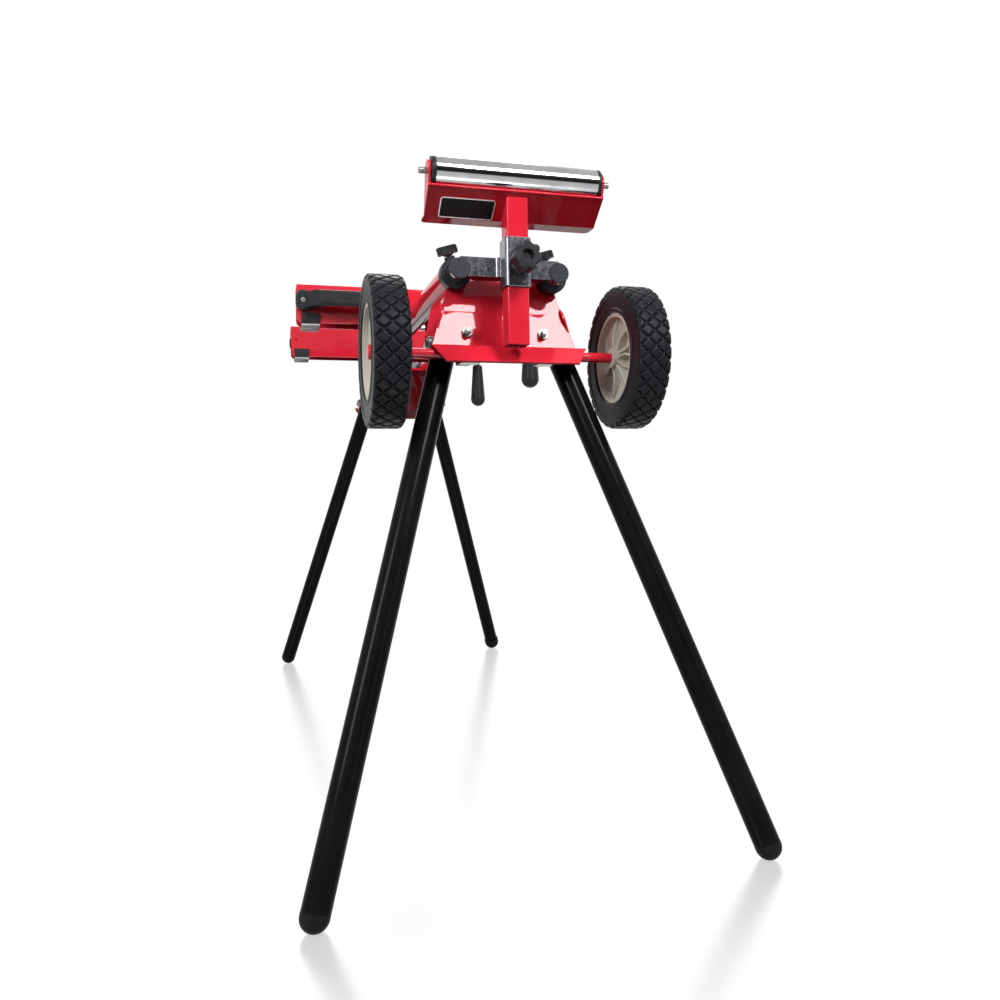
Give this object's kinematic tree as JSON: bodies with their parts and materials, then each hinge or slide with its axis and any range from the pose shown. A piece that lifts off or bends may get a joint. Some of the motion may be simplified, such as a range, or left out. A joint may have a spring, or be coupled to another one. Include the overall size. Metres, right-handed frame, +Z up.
{
  "type": "miter saw stand",
  "caption": "Folding wheeled stand for a miter saw: twin rails on splayed legs, pull-out arms with work rollers at both ends, and clamp-on saw mounts that slide along the rails.",
  "frame": {"origin": "on the floor under the middle of the rails", "axes": "+X across the stand away from the user, +Y along the rails away from the wheels, +Z up"},
  "size_m": [0.612, 1.4729, 0.92],
  "materials": {
    "red_paint": "gloss powder coat",
    "black_paint": "gloss black paint",
    "dark_grey_paint": "mottled dark grey coat",
    "roller_chrome": "polished",
    "tube_chrome": "polished",
    "zinc": "zinc plated",
    "black_plastic": "moulded, slight sheen",
    "hub_plastic": "moulded cream plastic",
    "tyre_rubber": "treaded rubber",
    "foot_rubber": "moulded rubber"
  },
  "bodies": {
    "frame": {"left_rail": "red_paint", "right_rail": "red_paint", "wheel_end_bracket": "red_paint", "far_end_bracket": "red_paint", "axle": "red_paint", "axle_caps": "red_paint", "axle_clamps": "red_paint", "frame_bolts": "zinc", "rail_collars": "black_plastic"},
    "left_wheel": {"left_tyre": "tyre_rubber", "left_hub": "hub_plastic"},
    "right_wheel": {"right_tyre": "tyre_rubber", "right_hub": "hub_plastic"},
    "wheel_end_left_leg": {"wheel_end_left_leg": "black_paint", "wheel_end_left_foot": "foot_rubber"},
    "wheel_end_right_leg": {"wheel_end_right_leg": "black_paint", "wheel_end_right_foot": "foot_rubber"},
    "wheel_end_arm": {"wheel_end_arm_tubes": "tube_chrome", "wheel_end_arm_plugs": "black_plastic", "wheel_end_crossbar": "dark_grey_paint", "wheel_end_post_sleeve": "dark_grey_paint"},
    "wheel_end_head": {"wheel_end_post": "red_paint", "wheel_end_tray": "red_paint", "wheel_end_roller_pin": "zinc"},
    "wheel_end_roller": {"wheel_end_roller": "roller_chrome", "wheel_end_roller_ends": "black_plastic"},
    "wheel_end_star_knob": {"wheel_end_star_knob": "black_plastic"},
    "wheel_end_left_wing_knob": {"wheel_end_left_wing_knob": "black_plastic"},
    "wheel_end_right_wing_knob": {"wheel_end_right_wing_knob": "black_plastic"},
    "far_end_left_leg": {"far_end_left_leg": "black_paint", "far_end_left_foot": "foot_rubber"},
    "far_end_right_leg": {"far_end_right_leg": "black_paint", "far_end_right_leg_insert": "zinc"},
    "levelling_foot": {"far_end_right_foot": "foot_rubber"},
    "far_end_arm": {"far_end_arm_tubes": "tube_chrome", "far_end_arm_plugs": "black_plastic", "far_end_crossbar": "dark_grey_paint", "far_end_post_sleeve": "dark_grey_paint"},
    "far_end_head": {"far_end_post": "red_paint", "far_end_tray": "red_paint", "far_end_roller_pin": "zinc"},
    "far_end_roller": {"far_end_roller": "roller_chrome", "far_end_roller_ends": "black_plastic"},
    "far_end_star_knob": {"far_end_star_knob": "black_plastic"},
    "far_end_left_wing_knob": {"far_end_left_wing_knob": "black_plastic"},
    "far_end_right_wing_knob": {"far_end_right_wing_knob": "black_plastic"},
    "near_mount": {"near_mount_channel": "red_paint", "near_mount_handle": "black_plastic", "near_mount_fasteners": "zinc", "near_mount_feet": "black_plastic"},
    "near_lever": {"near_mount_lever": "zinc", "near_mount_grip": "black_plastic"},
    "near_shoe": {"near_mount_clamp_shoe": "black_plastic"},
    "far_mount": {"far_mount_channel": "red_paint", "far_mount_handle": "black_plastic", "far_mount_fasteners": "zinc", "far_mount_feet": "black_plastic"},
    "far_lever": {"far_mount_lever": "zinc", "far_mount_grip": "black_plastic"},
    "far_shoe": {"far_mount_clamp_shoe": "black_plastic"}
  },
  "joints": [
    {"name": "left_wheel_spin", "type": "hinge", "parent": "frame", "child": "left_wheel", "pos_m": [-0.1755, -0.53588, 0.672], "axis": [1, 0, 0], "continuous": true},
    {"name": "right_wheel_spin", "type": "hinge", "parent": "frame", "child": "right_wheel", "pos_m": [0.1755, -0.53588, 0.672], "axis": [1, 0, 0], "continuous": true},
    {"name": "wheel_end_left_leg_fold", "type": "hinge", "parent": "frame", "child": "wheel_end_left_leg", "pos_m": [-0.08312, -0.4908, 0.687], "axis": [0.9563, 0, -0.2924], "range_deg": [0, 108]},
    {"name": "wheel_end_right_leg_fold", "type": "hinge", "parent": "frame", "child": "wheel_end_right_leg", "pos_m": [0.08312, -0.4908, 0.687], "axis": [0.9563, 0, 0.2924], "range_deg": [0, 108]},
    {"name": "wheel_end_arm_pull", "type": "slide", "parent": "frame", "child": "wheel_end_arm", "axis": [0, -1, 0], "range_m": [0, 0.4]},
    {"name": "wheel_end_head_lift", "type": "slide", "parent": "wheel_end_arm", "child": "wheel_end_head", "axis": [0, 0, 1], "range_m": [-0.008, 0.055]},
    {"name": "wheel_end_roller_spin", "type": "hinge", "parent": "wheel_end_head", "child": "wheel_end_roller", "pos_m": [0, -0.581, 0.901], "axis": [1, 0, 0], "continuous": true},
    {"name": "wheel_end_star_knob_turn", "type": "hinge", "parent": "wheel_end_arm", "child": "wheel_end_star_knob", "pos_m": [0, -0.6, 0.788], "axis": [0, 1, 0], "continuous": true},
    {"name": "wheel_end_left_wing_knob_turn", "type": "hinge", "parent": "frame", "child": "wheel_end_left_wing_knob", "pos_m": [-0.0705, -0.508, 0.787], "axis": [-0.2924, 0, 0.9563], "continuous": true},
    {"name": "wheel_end_right_wing_knob_turn", "type": "hinge", "parent": "frame", "child": "wheel_end_right_wing_knob", "pos_m": [0.0705, -0.508, 0.787], "axis": [-0.2924, 0, 0.9563], "continuous": true},
    {"name": "far_end_left_leg_fold", "type": "hinge", "parent": "frame", "child": "far_end_left_leg", "pos_m": [-0.08312, 0.4908, 0.687], "axis": [-0.9563, 0, 0.2924], "range_deg": [0, 96]},
    {"name": "far_end_right_leg_fold", "type": "hinge", "parent": "frame", "child": "far_end_right_leg", "pos_m": [0.08312, 0.4908, 0.687], "axis": [-0.9563, 0, -0.2924], "range_deg": [0, 96]},
    {"name": "levelling_foot_screw", "type": "slide", "parent": "far_end_right_leg", "child": "levelling_foot", "axis": [0.2781, 0.309, -0.9095], "range_m": [0, 0.015]},
    {"name": "far_end_arm_pull", "type": "slide", "parent": "frame", "child": "far_end_arm", "axis": [0, 1, 0], "range_m": [0, 0.4]},
    {"name": "far_end_head_lift", "type": "slide", "parent": "far_end_arm", "child": "far_end_head", "axis": [0, 0, 1], "range_m": [-0.008, 0.055]},
    {"name": "far_end_roller_spin", "type": "hinge", "parent": "far_end_head", "child": "far_end_roller", "pos_m": [0, 0.581, 0.901], "axis": [1, 0, 0], "continuous": true},
    {"name": "far_end_star_knob_turn", "type": "hinge", "parent": "far_end_arm", "child": "far_end_star_knob", "pos_m": [0, 0.6, 0.788], "axis": [0, 1, 0], "continuous": true},
    {"name": "far_end_left_wing_knob_turn", "type": "hinge", "parent": "frame", "child": "far_end_left_wing_knob", "pos_m": [-0.0705, 0.508, 0.787], "axis": [-0.2924, 0, 0.9563], "continuous": true},
    {"name": "far_end_right_wing_knob_turn", "type": "hinge", "parent": "frame", "child": "far_end_right_wing_knob", "pos_m": [0.0705, 0.508, 0.787], "axis": [-0.2924, 0, 0.9563], "continuous": true},
    {"name": "near_mount_slide", "type": "slide", "parent": "frame", "child": "near_mount", "axis": [0, 1, 0], "range_m": [-0.15, 0.15]},
    {"name": "near_lever_swing", "type": "hinge", "parent": "near_mount", "child": "near_lever", "pos_m": [0.137, -0.188, 0.787], "axis": [0, -1, 0], "range_deg": [0, 100]},
    {"name": "near_shoe_press", "type": "slide", "parent": "near_mount", "child": "near_shoe", "axis": [1, 0, 0], "range_m": [0, 0.0015]},
    {"name": "far_mount_slide", "type": "slide", "parent": "frame", "child": "far_mount", "axis": [0, 1, 0], "range_m": [-0.15, 0.13]},
    {"name": "far_lever_swing", "type": "hinge", "parent": "far_mount", "child": "far_lever", "pos_m": [0.137, 0.218, 0.787], "axis": [0, -1, 0], "range_deg": [0, 100]},
    {"name": "far_shoe_press", "type": "slide", "parent": "far_mount", "child": "far_shoe", "axis": [1, 0, 0], "range_m": [0, 0.0015]}
  ],
  "couplings": [
    {"joint": "near_shoe_press", "follows": "near_lever_swing", "m_per_rad": 0.000859},
    {"joint": "far_shoe_press", "follows": "far_lever_swing", "m_per_rad": 0.000859}
  ]
}
